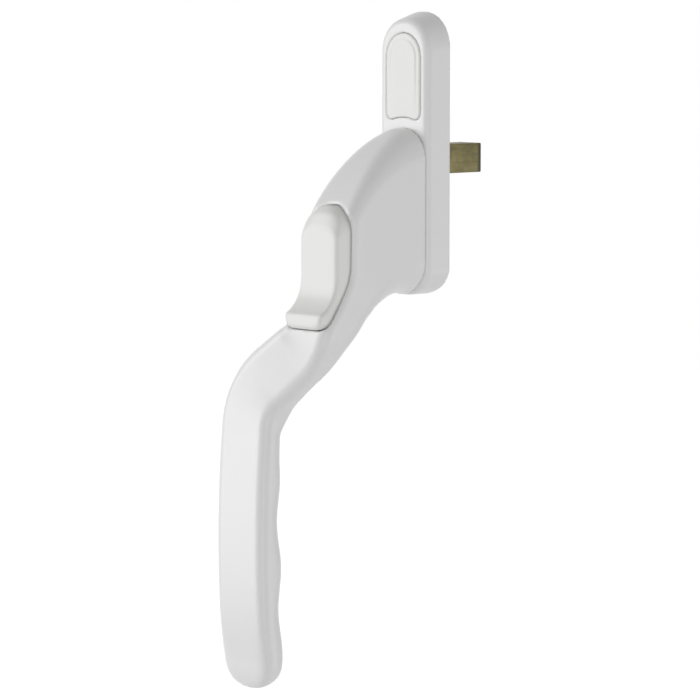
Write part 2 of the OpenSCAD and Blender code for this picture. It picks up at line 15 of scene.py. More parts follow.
import bmesh
import bpy
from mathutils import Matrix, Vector


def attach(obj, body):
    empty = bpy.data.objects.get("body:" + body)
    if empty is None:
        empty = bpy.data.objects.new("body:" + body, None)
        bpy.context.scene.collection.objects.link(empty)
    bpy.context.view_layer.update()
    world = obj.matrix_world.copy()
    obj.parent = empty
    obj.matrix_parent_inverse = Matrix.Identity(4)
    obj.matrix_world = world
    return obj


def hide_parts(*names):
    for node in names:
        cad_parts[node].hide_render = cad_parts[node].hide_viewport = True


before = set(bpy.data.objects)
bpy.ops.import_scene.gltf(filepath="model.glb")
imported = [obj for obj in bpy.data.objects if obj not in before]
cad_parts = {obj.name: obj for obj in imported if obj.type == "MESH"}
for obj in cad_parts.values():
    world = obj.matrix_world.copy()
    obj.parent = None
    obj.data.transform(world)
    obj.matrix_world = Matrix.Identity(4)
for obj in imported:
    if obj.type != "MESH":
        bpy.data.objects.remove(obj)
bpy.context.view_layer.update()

# %% [markdown]
# ## Where things are
#
# Sizes on a window handle are read from the window: how far across, how far out into
# the room and how far up. One helper turns those three into Blender's axes, so the
# rest of the lesson can use the same words as a drawing.

# %% Places and selections
MM = 0.001


def spot(across, out, up):
    """A point that lies across, out from the window and up, in millimetres."""
    return Vector((across, -out, up)) * MM


def lone():
    """Leaves edit mode and selects nothing."""
    if bpy.context.object and bpy.context.object.mode != "OBJECT":
        bpy.ops.object.mode_set(mode="OBJECT")
    bpy.ops.object.select_all(action="DESELECT")


def pick(piece, kind, test):
    """Selects the vertices, edges or faces that pass a test, and says how many."""
    bpy.ops.mesh.select_mode(type=kind)
    bpy.ops.mesh.select_all(action="DESELECT")
    mesh = bmesh.from_edit_mesh(piece.data)
    parts = {"VERT": mesh.verts, "EDGE": mesh.edges, "FACE": mesh.faces}[kind]
    found = [e for e in parts if test(e)]
    for e in found:
        e.select_set(True)
    mesh.select_flush_mode()
    bmesh.update_edit_mesh(piece.data)
    return len(found)


def push(out=0, up=0, across=0):
    """Extrudes what is selected."""
    bpy.ops.mesh.extrude_region_move(TRANSFORM_OT_translate={"value": spot(across, out, up)})


def stretch(x=1, y=1, z=1, about=(0, 0, 0)):
    """Scales what is selected about a point."""
    bpy.ops.transform.resize(value=(x, y, z), center_override=spot(*about))


def move(across=0, out=0, up=0):
    bpy.ops.transform.translate(value=spot(across, out, up))


print("one millimetre is", MM, "m")

# %% [markdown]
# ## Starting and finishing a piece
#
# A piece begins as a primitive of the right size in the right place. Its place goes
# into its mesh at once, so the object itself stays at the origin. Holes are cut with
# Boolean modifiers, which are applied so that the mesh is what it looks like.

# %% Primitives, cuts and the last steps
def begin(name, size):
    """Names the new primitive, gives it a size and opens it for editing."""
    piece = bpy.context.object
    piece.name = piece.data.name = name
    piece.scale = size
    bpy.ops.object.transform_apply(location=True, rotation=True, scale=True)
    bpy.ops.object.mode_set(mode="EDIT")
    return piece


def card(name, half, foot, top, out):
    """A flat rectangle that faces the room."""
    lone()
    bpy.ops.mesh.primitive_plane_add(
        size=1, location=spot(0, out, (foot + top) / 2), rotation=(math.pi / 2, 0, 0))
    return begin(name, (2 * half * MM, (top - foot) * MM, 1))


def block(name, left, right, back, front, foot, top):
    """A box given by its six sides."""
    lone()
    bpy.ops.mesh.primitive_cube_add(
        size=1, location=spot((left + right) / 2, (back + front) / 2, (foot + top) / 2))
    return begin(name, ((right - left) * MM, (front - back) * MM, (top - foot) * MM))


def rod(name, r, back, front, up, across=0, sides=64):
    """A round bar that points into the room."""
    lone()
    bpy.ops.mesh.primitive_cylinder_add(
        vertices=sides, radius=r * MM, depth=(front - back) * MM,
        location=spot(across, (back + front) / 2, up), rotation=(math.pi / 2, 0, 0))
    return begin(name, (1, 1, 1))


def only(piece):
    """Object mode with one piece selected and active."""
    lone()
    piece.select_set(True)
    bpy.context.view_layer.objects.active = piece


def apply(piece, kind, **settings):
    """Adds a modifier with its settings and applies it."""
    only(piece)
    step = piece.modifiers.new(kind.title(), kind)
    for key, value in settings.items():
        setattr(step, key, value)
    bpy.ops.object.modifier_apply(modifier=step.name)


def cut(piece, tool, how="DIFFERENCE"):
    """Cuts, joins or keeps what is common with a tool, which is then removed."""
    lone()
    apply(piece, "BOOLEAN", operation=how, object=tool, solver="EXACT")
    bpy.data.objects.remove(tool)


def tidy(piece):
    """Merges doubles, points the faces outwards and says whether the mesh is closed."""
    only(piece)
    bpy.ops.object.mode_set(mode="EDIT")
    bpy.ops.mesh.select_all(action="SELECT")
    bpy.ops.mesh.remove_doubles(threshold=0.002 * MM)
    bpy.ops.mesh.dissolve_degenerate(threshold=0.002 * MM)
    bpy.ops.mesh.normals_make_consistent(inside=False)
    mesh = bmesh.from_edit_mesh(piece.data)
    loose = sum(1 for e in mesh.edges if len(e.link_faces) != 2)
    volume = mesh.calc_volume() / MM ** 3
    bpy.ops.object.mode_set(mode="OBJECT")
    print(f"{piece.name}: {len(piece.data.polygons)} faces, {loose} open edges, {volume:.0f} mm3")


def hand_over(piece, body, node, angle=35):
    """Smooths the shading and lets the piece stand for its node on a body."""
    only(piece)
    bpy.ops.object.shade_smooth_by_angle(angle=math.radians(angle))
    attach(piece, body)
    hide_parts(node)


# %% [markdown]
# ## The lever's outline
#
# The lever is a zinc casting. Seen from the side it runs out from the boss, bends
# down at the knuckle and runs on into the grip. Two lines give that side view: one
# along the front and one along the back. Each is a chain of cubic curves, the same
# curves that a draughtsman would draw with a spline.

# %% Front and back lines of the lever
LEVER_BACK, SEAT, GRIP_BACK = 6.8, 30.1, 35.6
BOSS_HALF, GRIP_HALF, TIP = 8.05, 8.7, 7.0
GRIP_TOP, GRIP_END = -64.4, -118

front_line = {
    "neck": [(LEVER_BACK, 7.6), (13.9, 6.8), (23.6, -0.9), (SEAT, -11.2)],
    "seat": [(SEAT, -11.2), (30.5, -14), (SEAT, -18.5), (SEAT, -23.5)],
    "bend": [(SEAT, -23.5), (SEAT, -30), (36.9, -35.2), (38.2, -38.9)],
    "crank": [(38.2, -38.9), (39.4, -46), (42.0, -54), (42.2, -64)],
    "grip": [(42.2, -64), (43.8, -80), (44.0, -105), (41.7, GRIP_END)],
}
back_line = [
    [(LEVER_BACK, -32), (10.8, -30.7), (15.9, -31.1), (20.5, -34.1)],
    [(20.5, -34.1), (22.57, -35.83), (24.63, -37.57), (26.7, -39.3)],
    [(26.7, -39.3), (29.7, -41.5), (32.3, -44.2), (32.4, -48)],
    [(32.4, -48), (32.6, -51), (32.3, -57), (GRIP_BACK, GRIP_TOP)],
]


def along(points, t):
    """Point on a cubic curve."""
    s = 1 - t
    shares = (s ** 3, 3 * s * s * t, 3 * s * t * t, t ** 3)
    return [sum(k * p[i] for k, p in zip(shares, points)) for i in (0, 1)]


def behind(u):
    """Point on the back line: 0 at the boss, then 1, 2, 3 and 4 at the ends of its curves."""
    i = min(int(u), 3)
    return along(back_line[i], u - i)


def ease(t):
    t = min(max(t, 0), 1)
    return t * t * (3 - 2 * t)


WAVE_START, WAVE_PITCH, WAVE_DEPTH, WAVE_FADE, GRIP_LEAN = -74.3, 21, 1.1, 14, 0.9


def finger_side(t):
    """Back of the grip, with the shallow waves that the fingers lie in."""
    up = GRIP_TOP + (GRIP_END - GRIP_TOP) * t
    wave = 1 - math.cos(2 * math.pi * (up - WAVE_START) / WAVE_PITCH)
    share = WAVE_DEPTH / 2 * ease((GRIP_TOP - up) / WAVE_FADE)
    return [GRIP_BACK - GRIP_LEAN * t * t + share * wave, up]


print("the grip's back at its end:", [round(v, 2) for v in finger_side(1)])

# %% [markdown]
# ## Sections along the lever
#
# A section joins a point of the front line to a point of the back line and has a
# width. It also has two edge radii: the boss is fully round on top and below, while
# the grip has soft but clear edges. The tip is drawn in along a quarter turn.

# %% Sections from boss to tip
def mix(ends, t):
    return ends[0] + (ends[1] - ends[0]) * t


def leg(name, span, steps, halves, front_edges, back_edges):
    """Sections over one stretch, as front, back, half width and the two edge radii."""
    for i in range(steps):
        t = i / steps
        yield (along(front_line[name], t), behind(mix(span, t)), mix(halves, t),
               mix(front_edges, ease(t)), mix(back_edges, t))


ARM_HALF = BOSS_HALF - 0.55
ROUND = BOSS_HALF - 0.1
NECK_EDGE, SEAT_EDGE, ARM_EDGE, GRIP_EDGE = 2.8, 1.5, 2.8, 2.7
NECK_REAR, SEAT_REAR, ARM_REAR, GRIP_REAR = 5.6, 3.9, 2.8, 3.4
sections = [
    *leg("neck", (0, 0.5), 18, (BOSS_HALF, BOSS_HALF), (ROUND, NECK_EDGE), (ROUND, NECK_REAR)),
    *leg("seat", (0.5, 0.85), 8, (BOSS_HALF, BOSS_HALF), (NECK_EDGE, SEAT_EDGE), (NECK_REAR, SEAT_REAR)),
    *leg("bend", (0.85, 2.25), 24, (BOSS_HALF, ARM_HALF), (SEAT_EDGE, ARM_EDGE), (SEAT_REAR, ARM_REAR)),
    *leg("crank", (2.25, 4), 30, (ARM_HALF, GRIP_HALF), (ARM_EDGE, GRIP_EDGE), (ARM_REAR, GRIP_REAR)),
]
GRIP_STEPS, TIP_STEPS, TIP_TURN, TIP_LEAN = 40, 14, 82, 0.3
for i in range(GRIP_STEPS):
    t = i / GRIP_STEPS
    sections.append((along(front_line["grip"], t), finger_side(t), GRIP_HALF, GRIP_EDGE, GRIP_REAR))
tip_front, tip_back = along(front_line["grip"], 1), finger_side(1)
for i in range(TIP_STEPS + 1):
    a = math.radians(TIP_TURN * i / TIP_STEPS)
    keep = math.cos(a) ** 0.5
    ends = []
    for own, other, fall in ((tip_front, tip_back, TIP + 0.4), (tip_back, tip_front, TIP - 1.4)):
        mid = [(p + q) / 2 for p, q in zip(own, other)]
        ends.append([mid[0] + (own[0] - mid[0]) * keep - TIP_LEAN * math.sin(a),
                     mid[1] + (own[1] - mid[1]) * keep - fall * math.sin(a)])
    half = GRIP_HALF * math.cos(a) ** 0.7
    sections.append((*ends, half, GRIP_EDGE * keep ** 2, GRIP_REAR * keep ** 2))
print("sections:", len(sections))

# %% [markdown]
# ## Extruding the lever
#
# The lever could be lofted in code, but it is easy to make by hand: a card the size
# of the boss is extruded section by section. Each time the new end moves with the
# front line, its back edge is then set on the back line and its width is scaled.

# %% Extrude from the boss to the tip
lever = card("lever_casting", BOSS_HALF, sections[0][1][1], sections[0][0][1], LEVER_BACK)


def grow(before, after):
    """Extrudes the end face from one section to the next."""
    ahead = [a - b for a, b in zip(after[0], before[0])]
    rear = [a - b for a, b in zip(after[1], before[1])]
    push(out=ahead[0], up=ahead[1])
    mesh = bmesh.from_edit_mesh(lever.data)
    ring = [v for v in mesh.verts if v.select]
    tip = spot(0, *after[0])
    ring.sort(key=lambda v: (Vector((0, v.co.y, v.co.z)) - tip).length)
    for v in ring[:2]:
        v.select_set(False)
    mesh.select_flush_mode()
    move(out=rear[0] - ahead[0], up=rear[1] - ahead[1])
    for v in ring[:2]:
        v.select_set(True)
    mesh.select_flush_mode()
    stretch(x=after[2] / before[2])


bpy.ops.mesh.select_mode(type="VERT")
bpy.ops.mesh.select_all(action="SELECT")
for before, after in zip(sections, sections[1:]):
    grow(before, after)
tidy(lever)

# %% [markdown]
# ## Rounding the lever's edges
#
# The long edges get their radii from two Bevel modifiers, one for the front and one
# for the back. One width serves a whole edge, because each piece of it carries a
# weight that says what share to use. The back has a slightly flatter profile.

# %% Bevel the long edges by weight
def station(v):
    """Number of the section a corner belongs to, and whether it is on the front or the back."""
    here = (-v.co.y / MM, v.co.z / MM)
    nearest = min((math.dist(here, s[side]), i, side)
                  for i, s in enumerate(sections) for side in (0, 1))
    return nearest[1:]


places = [station(v) for v in lever.data.vertices]
for name in ("front_round", "back_round"):
    lever.data.attributes.new(name, "FLOAT", "EDGE")
rounds = [lever.data.attributes[name].data for name in ("front_round", "back_round")]
for edge in lever.data.edges:
    (i, other), (j, side) = (places[v] for v in edge.vertices)
    if abs(i - j) == 1 and other == side:
        radius = (sections[i][3 + side] + sections[j][3 + side]) / 2
        rounds[side][edge.index].value = radius / ROUND
for name, profile in (("back_round", 0.44), ("front_round", 0.5)):
    apply(lever, "BEVEL", limit_method="WEIGHT", edge_weight=name, offset_type="OFFSET",
          width=ROUND * MM, segments=8, profile=profile, use_clamp_overlap=False)
tidy(lever)

# %% [markdown]
# ## Setting the grip aside
#
# Seen from the front the lever is cranked: below the button it swings to the left in
# an arc, runs on a straight slant and swings back, so that the hand clears the frame.
# So far the lever is straight. Each of its points now turns and moves sideways by what
# its height asks for, and because it turns with the bend the lever keeps its width.

# %% Swing the lever to the left
CRANK_TOP, SLANT, UPPER, LOWER, ASIDE = -36.5, math.radians(52), 10.2, 15.9, 17.7
slant_start = UPPER * math.sin(SLANT)
slant_long = (ASIDE - (UPPER + LOWER) * (1 - math.cos(SLANT))) / math.sin(SLANT)
slant_end = slant_start + slant_long * math.cos(SLANT)
crank_end = slant_end + LOWER * math.sin(SLANT)


def crank(up):
    """Angle and shift to the left at a height."""
    drop = CRANK_TOP - up
    if drop <= 0:
        return 0, 0
    if drop < slant_start:
        turn = math.asin(drop / UPPER)
        return turn, UPPER * (1 - math.cos(turn))
    if drop < slant_end:
        return SLANT, UPPER * (1 - math.cos(SLANT)) + (drop - slant_start) * math.tan(SLANT)
    turn = math.asin(max(crank_end - drop, 0) / LOWER)
    return turn, ASIDE - LOWER * (1 - math.cos(turn))


for v in lever.data.vertices:
    turn, shift = crank(v.co.z / MM)
    across = v.co.x
    v.co.x = across * math.cos(turn) - shift * MM
    v.co.z -= across * math.sin(turn)
tidy(lever)
print("the grip stands", ASIDE, "mm to the left")

# %% [markdown]
# ## The button's pocket
#
# The button sits in an arched pocket. A flat card becomes the arch when its two top
# corners are rounded with half its width. Seen from the side the pocket is deep at
# the top and shallow at the foot, so the arch is trimmed by a side view.

# %% Arch and side view
def arch(name, half, foot, top, corner, out):
    """A card with an arched top and small corners at the foot, facing the room."""
    piece = card(name, half, foot, top, out)
    for test, size, steps in ((lambda v: v.co.z > (top - 0.1) * MM, half - 0.001, 24),
                              (lambda v: v.co.z < (foot + 0.1) * MM, corner, 6)):
        pick(piece, "VERT", test)
        bpy.ops.mesh.bevel(offset=size * MM, segments=steps, affect="VERTICES")
    bpy.ops.mesh.select_all(action="SELECT")
    bpy.ops.mesh.remove_doubles(threshold=0.004 * MM)
    bpy.ops.mesh.select_mode(type="FACE")
    bpy.ops.mesh.select_all(action="SELECT")
    return piece


WIDE = 20


def side_view(name, corners):
    """A solid with the given side view, wider than the lever."""
    lone()
    bpy.ops.mesh.primitive_circle_add(vertices=len(corners), radius=MM, fill_type="NGON")
    piece = begin(name, (1, 1, 1))
    mesh = bmesh.from_edit_mesh(piece.data)
    for v, corner in zip(mesh.verts, corners):
        v.co = spot(-WIDE, *corner)
    bmesh.update_edit_mesh(piece.data)
    push(across=2 * WIDE)
    return piece


FACE, BUTTON_HALF, BUTTON_TOP, BUTTON_FOOT, HEEL_ROUND = 33.8, 6.65, -9.85, -38.3, 2.5
SKIRT, KNEE, HEEL, HEEL_UP, SINK, GAP, TOP_GAP = 26.2, -30, 33.2, -36.2, 3.4, 0.16, 0.06


def behind_button(sink, front):
    """Side view of the button's back, sunk into the lever."""
    return [(front, 0), (SKIRT - sink, 0), (SKIRT - sink, KNEE), (HEEL - sink, HEEL_UP),
            (HEEL - sink, BUTTON_FOOT - 1), (front, BUTTON_FOOT - 1)]


pocket = arch("pocket", BUTTON_HALF + GAP, BUTTON_FOOT - GAP, BUTTON_TOP + TOP_GAP,
              HEEL_ROUND + GAP, SKIRT - SINK - 1)
push(out=30)
tidy(pocket)
trim = side_view("trim", behind_button(SINK, 60))
tidy(trim)
cut(pocket, trim, "INTERSECT")
tidy(pocket)

# %% [markdown]
# ## Hollows and hub
#
# Behind the boss a hub runs through the plate and holds the square bar. The boss is
# cored out behind the button for the stem and the catch. These are plain cuts, made
# before the surface is finished.

# %% Cut the lever's hollows and join its hub
BAR_HALF, BAR_BACK, BAR_FRONT, PIN_OUT, PIN_R = 3.5, -16, 12.9, 10.3, 1.25
STEM_UP, PIVOT_OUT, PIVOT_UP = -18.4, 11.3, -15


def upright(name, r, long, out, up, sides):
    """A round bar that points up."""
    lone()
    bpy.ops.mesh.primitive_cylinder_add(
        vertices=sides, radius=r * MM, depth=long * MM, location=spot(0, out, up))
    return begin(name, (1, 1, 1))


cut(lever, pocket)
cut(lever, block("core", -5, 5, 5.9, 17.8, -28, -8.6))
cut(lever, rod("guide_bore", 3, 16.8, 24, STEM_UP))
cut(lever, rod("washer_seat", 7, 5.9, 7.6, 0))
cut(lever, rod("hub", 5.7, 1.9, BAR_FRONT, 0), "UNION")
cut(lever, block("hub_end", -4.7, 4.7, 0.95, 2.5, -4.7, 4.7), "UNION")
cut(lever, block("bar_hole", -BAR_HALF, BAR_HALF, 0, BAR_FRONT, -BAR_HALF, BAR_HALF))
groove = rod("groove", 6.5, 2.2, 3.0, 0)
cut(groove, rod("groove_floor", 5.15, 2, 3.2, 0))
cut(lever, groove)
cut(lever, block("pivot_slot", -6.4, 6.4, 5.9, PIVOT_OUT, PIVOT_UP - 1, PIVOT_UP + 1))
lone()
bpy.ops.mesh.primitive_cylinder_add(
    vertices=24, radius=MM, depth=12.8 * MM, location=spot(0, PIVOT_OUT, PIVOT_UP),
    rotation=(0, math.pi / 2, 0))
cut(lever, begin("pivot_seat", (1, 1, 1)))
cut(lever, upright("pin_bore", PIN_R, 14, PIN_OUT, -2.6, 24))
tidy(lever)

# %% [markdown]
# ## The lever's surface
#
# A coat of powder softens every edge of a casting. Remeshing the lever into small
# even faces and smoothing them does the same. The pocket's arched rim is worked
# further, because on the real lever it is a rounded lip that catches the light.

# %% Remesh and soften
apply(lever, "REMESH", mode="VOXEL", voxel_size=0.36 * MM)
apply(lever, "SMOOTH", factor=0.5, iterations=4)
only(lever)
bpy.ops.object.mode_set(mode="EDIT")


RIM_WIDE, RIM_BACK = 1.3, 26.5


def by_rim(v, reach):
    """True near the pocket's arched rim, down to a reach below its top."""
    across, out, up = v.co.x / MM, -v.co.y / MM, v.co.z / MM
    arc = math.hypot(across, max(up - (BUTTON_TOP - BUTTON_HALF), 0)) - BUTTON_HALF - GAP
    return abs(arc) < RIM_WIDE and up > BUTTON_TOP - reach and out > RIM_BACK


for reach in (7, 10, 13, 16, 19):
    rim = pick(lever, "VERT", lambda v: by_rim(v, reach))
    bpy.ops.mesh.vertices_smooth(factor=0.5, repeat=4)
for height in (-110, -113, -116):
    pick(lever, "VERT", lambda v: v.co.z / MM < height)
    bpy.ops.mesh.vertices_smooth(factor=0.5, repeat=16)
tidy(lever)
hand_over(lever, "handle", "lever", 60)
print("rim vertices:", rim)

# %% [markdown]
# ## The push button
#
# The button is a plastic moulding. It fills the pocket at its rim, its crown slopes
# back at the top, and its foot flares into a lip for the thumb. The arch is extruded
# and drawn in level by level, and one side view then trims front and back together.

# %% Extrude the button
button = arch("button_cap", BUTTON_HALF, BUTTON_FOOT, BUTTON_TOP, HEEL_ROUND, SKIRT - 1)


def level(before, after, full=1.0):
    """Draws the selected outline in to another half width, top and rise of its arch."""
    half, top, rise = after
    stretch(x=half / before[0])
    spring = before[1] - before[2]
    mesh = bmesh.from_edit_mesh(button.data)
    for v in (v for v in mesh.verts if v.select and v.co.z / MM > spring - 0.01):
        c, s = v.co.x / MM / half, (v.co.z / MM - spring) / before[2]
        v.co.x = half * math.copysign(abs(c) ** full, c) * MM
        v.co.z = (top - rise + rise * max(s, 0) ** full) * MM
    bmesh.update_edit_mesh(button.data)


bpy.ops.mesh.select_mode(type="VERT")
WALL_ARCH = (BUTTON_HALF, BUTTON_TOP, BUTTON_HALF)
CROWN_ARCH, FACE_ARCH = (6.5, -11.2, 5.5), (6.4, -14.6, 3.3)
FULLER, PLAINER = 0.77, 1.3
CROWN_HIGH, DOME_HIGH = 1.6, 1.4
push(out=FACE - CROWN_HIGH - DOME_HIGH - SKIRT + 1)
push(out=CROWN_HIGH)
level(WALL_ARCH, CROWN_ARCH, FULLER)
push(out=DOME_HIGH)
level(CROWN_ARCH, CROWN_ARCH, PLAINER)
level(CROWN_ARCH, FACE_ARCH)
push(out=7)
tidy(button)

# %% [markdown]
# The thumb's hollow is an arc in the side view. It is drawn with short straight runs.
# Remeshing and smoothing then round the face's edges, as the mould's own radii do.

# %% Trim the button's front and back
LIP, SCOOP_UP, SCOOP, SCOOP_LONG, SCOOP_STEPS = FACE + 5.1, -26.6, 9.3, 7.96, 24
scoop = []
for i in range(SCOOP_STEPS):
    up = SCOOP_UP - i / SCOOP_STEPS * SCOOP_LONG
    scoop.append((FACE + SCOOP - math.sqrt(SCOOP ** 2 - (up - SCOOP_UP) ** 2), up))
thumb_side = [(FACE, 0), *scoop, (LIP, scoop[-1][1] - 0.4), (LIP, BUTTON_FOOT - 1)]
pocket_side = [(HEEL, BUTTON_FOOT - 1), (HEEL, HEEL_UP), (SKIRT, KNEE), (SKIRT, 0)]
profile = side_view("profile", thumb_side + pocket_side)
tidy(profile)
cut(button, profile, "INTERSECT")
cut(button, block("hollow", -5.2, 5.2, SKIRT - 1, FACE - 2, -27.6, -14.1))
cut(button, rod("stem_boss", 2.5, FACE - 4.6, FACE - 1.5, STEM_UP), "UNION")
cut(button, rod("stem_hole", 1.75, FACE - 5.6, FACE - 1, STEM_UP))
tidy(button)
apply(button, "REMESH", mode="VOXEL", voxel_size=0.22 * MM)
apply(button, "SMOOTH", factor=0.5, iterations=24)
only(button)
bpy.ops.object.mode_set(mode="EDIT")
for depth in (30.6, 31.4, 32.2):
    pick(button, "VERT", lambda v: -v.co.y / MM > depth)
    bpy.ops.mesh.vertices_smooth(factor=0.5, repeat=11)
tidy(button)
hand_over(button, "button", "push_button", 60)

# %% [markdown]
# ## The base plate
#
# The plate is cast too. Its sides lean in towards the room so that it leaves the
# mould, its top is a full arch, and a soft radius runs round its front. A card is
# rounded at its corners, extruded, drawn in and bevelled.

# %% Extrude the plate
PLATE_HALF, PLATE_TOP, PLATE_FOOT, PLATE, TOE = 9.3, 35.0, -32.1, 6.6, 7.0
DRAFT, TOP_SETBACK, FRONT_ROUND = math.radians(11), 0.12, 1.4
NEAR_FRONT = 6
plate = card("plate_casting", PLATE_HALF, PLATE_FOOT + TOE - PLATE_HALF, PLATE_TOP, 0)
for test, fullness in ((lambda v: v.co.z > 0, 0.5325), (lambda v: v.co.z < -30 * MM, 0.5)):
    pick(plate, "VERT", test)
    bpy.ops.mesh.bevel(offset=(PLATE_HALF - 0.001) * MM, segments=28, profile=fullness, affect="VERTICES")
pick(plate, "VERT", lambda v: v.co.z < (PLATE_FOOT + TOE) * MM)
stretch(z=TOE / PLATE_HALF, about=(0, 0, PLATE_FOOT + TOE))
bpy.ops.mesh.select_all(action="SELECT")
bpy.ops.mesh.remove_doubles(threshold=0.004 * MM)
bpy.ops.mesh.select_all(action="SELECT")
push(out=PLATE)
drawn = (PLATE_HALF - PLATE * math.tan(DRAFT)) / PLATE_HALF
stretch(x=drawn)
SPRING = PLATE_TOP - PLATE_HALF
pick(plate, "VERT", lambda v: v.co.y < -NEAR_FRONT * MM and v.co.z > (SPRING - 0.01) * MM)
stretch(z=drawn, about=(0, 0, SPRING))
move(up=-TOP_SETBACK * PLATE)
tidy(plate)

# %% [markdown]
# The coat would run thin on a sharp edge, so the casting has a radius all round its
# front. The edges of the front face are the ones that lie farthest into the room.

# %% Round its front edge
only(plate)
bpy.ops.object.mode_set(mode="EDIT")
edges = pick(plate, "EDGE", lambda e: all(v.co.y < -NEAR_FRONT * MM for v in e.verts))
bpy.ops.mesh.bevel(offset=FRONT_ROUND * MM, segments=6, affect="EDGES")
tidy(plate)
print("front edges rounded:", edges)

# %% [markdown]
# Behind the cap lies a screw, and another sits behind the lever. The plate is also
# bored for the hub and hollowed behind for the click spring and its cover.

# %% Cut the plate's recess and holes
CAP_HALF, CAP_FOOT, CAP_TOP, CAP_CORNER, CAP_WAVE, CAP_FLOOR = 5.7, 9.5, 29.9, 1.8, 0.6, 4.0
SCREW_UP, LEG_UPS = 21.5, (10.8, 27.3)


def wavy_arch(name, larger, out):
    """Outline of the cover cap, with a shallow wave along its foot, larger all round."""
    half, foot, top = CAP_HALF + larger, CAP_FOOT - larger, CAP_TOP + larger
    piece = arch(name, half, foot, top, CAP_CORNER + larger, out)
    pick(piece, "EDGE", lambda e: all(v.co.z < (foot + 0.01) * MM for v in e.verts))
    bpy.ops.mesh.subdivide(number_cuts=11)
    mesh = bmesh.from_edit_mesh(piece.data)
    reach = half - CAP_CORNER - larger
    for v in mesh.verts:
        if v.co.z < (foot + 0.01) * MM:
            v.co.z += CAP_WAVE * max(1 - (v.co.x / MM / reach) ** 2, 0) * MM
    bmesh.update_edit_mesh(piece.data)
    bpy.ops.mesh.select_mode(type="FACE")
    bpy.ops.mesh.select_all(action="SELECT")
    return piece


def bore(tool):
    """Cuts the plate and splits its faces into triangles, so that none keeps a hole in it."""
    cut(plate, tool)
    apply(plate, "TRIANGULATE")


apply(plate, "TRIANGULATE")
recess = wavy_arch("recess", 0.04, CAP_FLOOR)
push(out=5)
tidy(recess)
bore(recess)
for up, seat in ((SCREW_UP, CAP_FLOOR), (-SCREW_UP, PLATE)):
    bore(rod("screw_hole", 2.65, -1, 8, up))
    sink = rod("countersink", 5, seat - 2.4, seat, up)
    pick(sink, "FACE", lambda f: f.normal.y > 0.9)
    stretch(x=0.52, z=0.52, about=(0, 0, up))
    pick(sink, "FACE", lambda f: f.normal.y < -0.9)
    push(out=3)
    bore(sink)
bore(rod("hub_bore", 6.4, -1, 8, 0))
bore(rod("bush_room", 7.2, -1, 4, 0))
bore(block("spring_room", -7.2, 7.2, -1, 2.5, -13, 13))
bore(block("cover_seat", -8.25, 8.25, -1, 0.9, -16.45, 16.45))
for up in LEG_UPS:
    bore(block("leg_slot", -1.75, 1.75, 1.75, 5, up - 0.8, up + 0.8))
for up in (14.8, -14.8):
    bore(rod("rivet_hole", 0.9, -1, 3.4, up, sides=24))
bore(block("catch_slot", -2.85, 2.85, 4.7, 8, -11.25, -9.95))
tidy(plate)

# %% [markdown]
# Sprayed powder softens the recess too, and its rim meets the cap in a shallow rounded
# groove. As on the lever, small even faces and a little smoothing give that.

# %% Soften the plate
apply(plate, "REMESH", mode="VOXEL", voxel_size=0.26 * MM)
apply(plate, "SMOOTH", factor=0.5, iterations=9)
tidy(plate)
hand_over(plate, "base", "base_plate", 60)

# %% [markdown]
# ## The cover cap
#
# A plastic cap hides the upper screw. Its middle stands a little prouder than its
# border, and its foot has a shallow wave. The border and the middle are two outlines
# of the same kind, one inside the other. Two legs hold it in the plate.

# %% Model the cap
cap = wavy_arch("cap_cover", 0, CAP_FLOOR + 0.05)
push(out=2.7)
tidy(cap)
panel_top = wavy_arch("cap_panel", -1.5, 6)
push(out=0.9)
pick(panel_top, "VERT", lambda v: v.co.y < -6.5 * MM and v.co.z < 13 * MM)
move(out=-0.13)
tidy(panel_top)
cut(cap, panel_top, "UNION")
cut(cap, rod("cap_hollow", 4.2, 3, 5.3, SCREW_UP))
for up in LEG_UPS:
    cut(cap, block("leg", -1.5, 1.5, 2, 5, up - 0.55, up + 0.55), "UNION")
tidy(cap)
apply(cap, "REMESH", mode="VOXEL", voxel_size=0.13 * MM)
apply(cap, "SMOOTH", factor=0.5, iterations=26)
tidy(cap)
hand_over(cap, "cap", "cover_cap", 60)

# %% [markdown]
# ## The square bar
#
# The bar is cut from drawn steel: its long edges are slightly rounded and its ends
# are chamfered by the saw and the tumbler. A cross hole takes the pin that holds it.

# %% Model the bar
bar = block("square_bar", -BAR_HALF, BAR_HALF, BAR_BACK, BAR_FRONT, -BAR_HALF, BAR_HALF)
pick(bar, "EDGE", lambda e: abs(e.verts[0].co.y - e.verts[1].co.y) > 20 * MM)
bpy.ops.mesh.bevel(offset=0.25 * MM, segments=3, affect="EDGES")
pick(bar, "EDGE", lambda e: all(v.co.y > 15.9 * MM for v in e.verts)
     or all(v.co.y < -12.8 * MM for v in e.verts))
bpy.ops.mesh.bevel(offset=0.3 * MM, segments=2, affect="EDGES")
cut(bar, upright("pin_hole", PIN_R, 12, PIN_OUT, 0, 32))
tidy(bar)
hand_over(bar, "handle", "spindle", 30)

# %% [markdown]
# ## Finishes
#
# Each finish is a small node tree. To keep the trees readable, a socket is wrapped in
# a class that knows plain arithmetic, and every other node is made by one method
# that takes its type, its settings and what goes into its sockets.

# %% Sockets that can be added and multiplied
class Tone:
    """An output socket that takes part in sums."""

    def __init__(self, finish, socket):
        self.finish, self.socket = finish, socket

    def sum(self, operation, first, second):
        return self.finish.node("ShaderNodeMath", {"operation": operation}, {0: first, 1: second})

    def __add__(self, other):
        return self.sum("ADD", self, other)

    def __radd__(self, other):
        return self.sum("ADD", other, self)

    def __sub__(self, other):
        return self.sum("SUBTRACT", self, other)

    def __rsub__(self, other):
        return self.sum("SUBTRACT", other, self)

    def __mul__(self, other):
        return self.sum("MULTIPLY", self, other)

    def __rmul__(self, other):
        return self.sum("MULTIPLY", other, self)


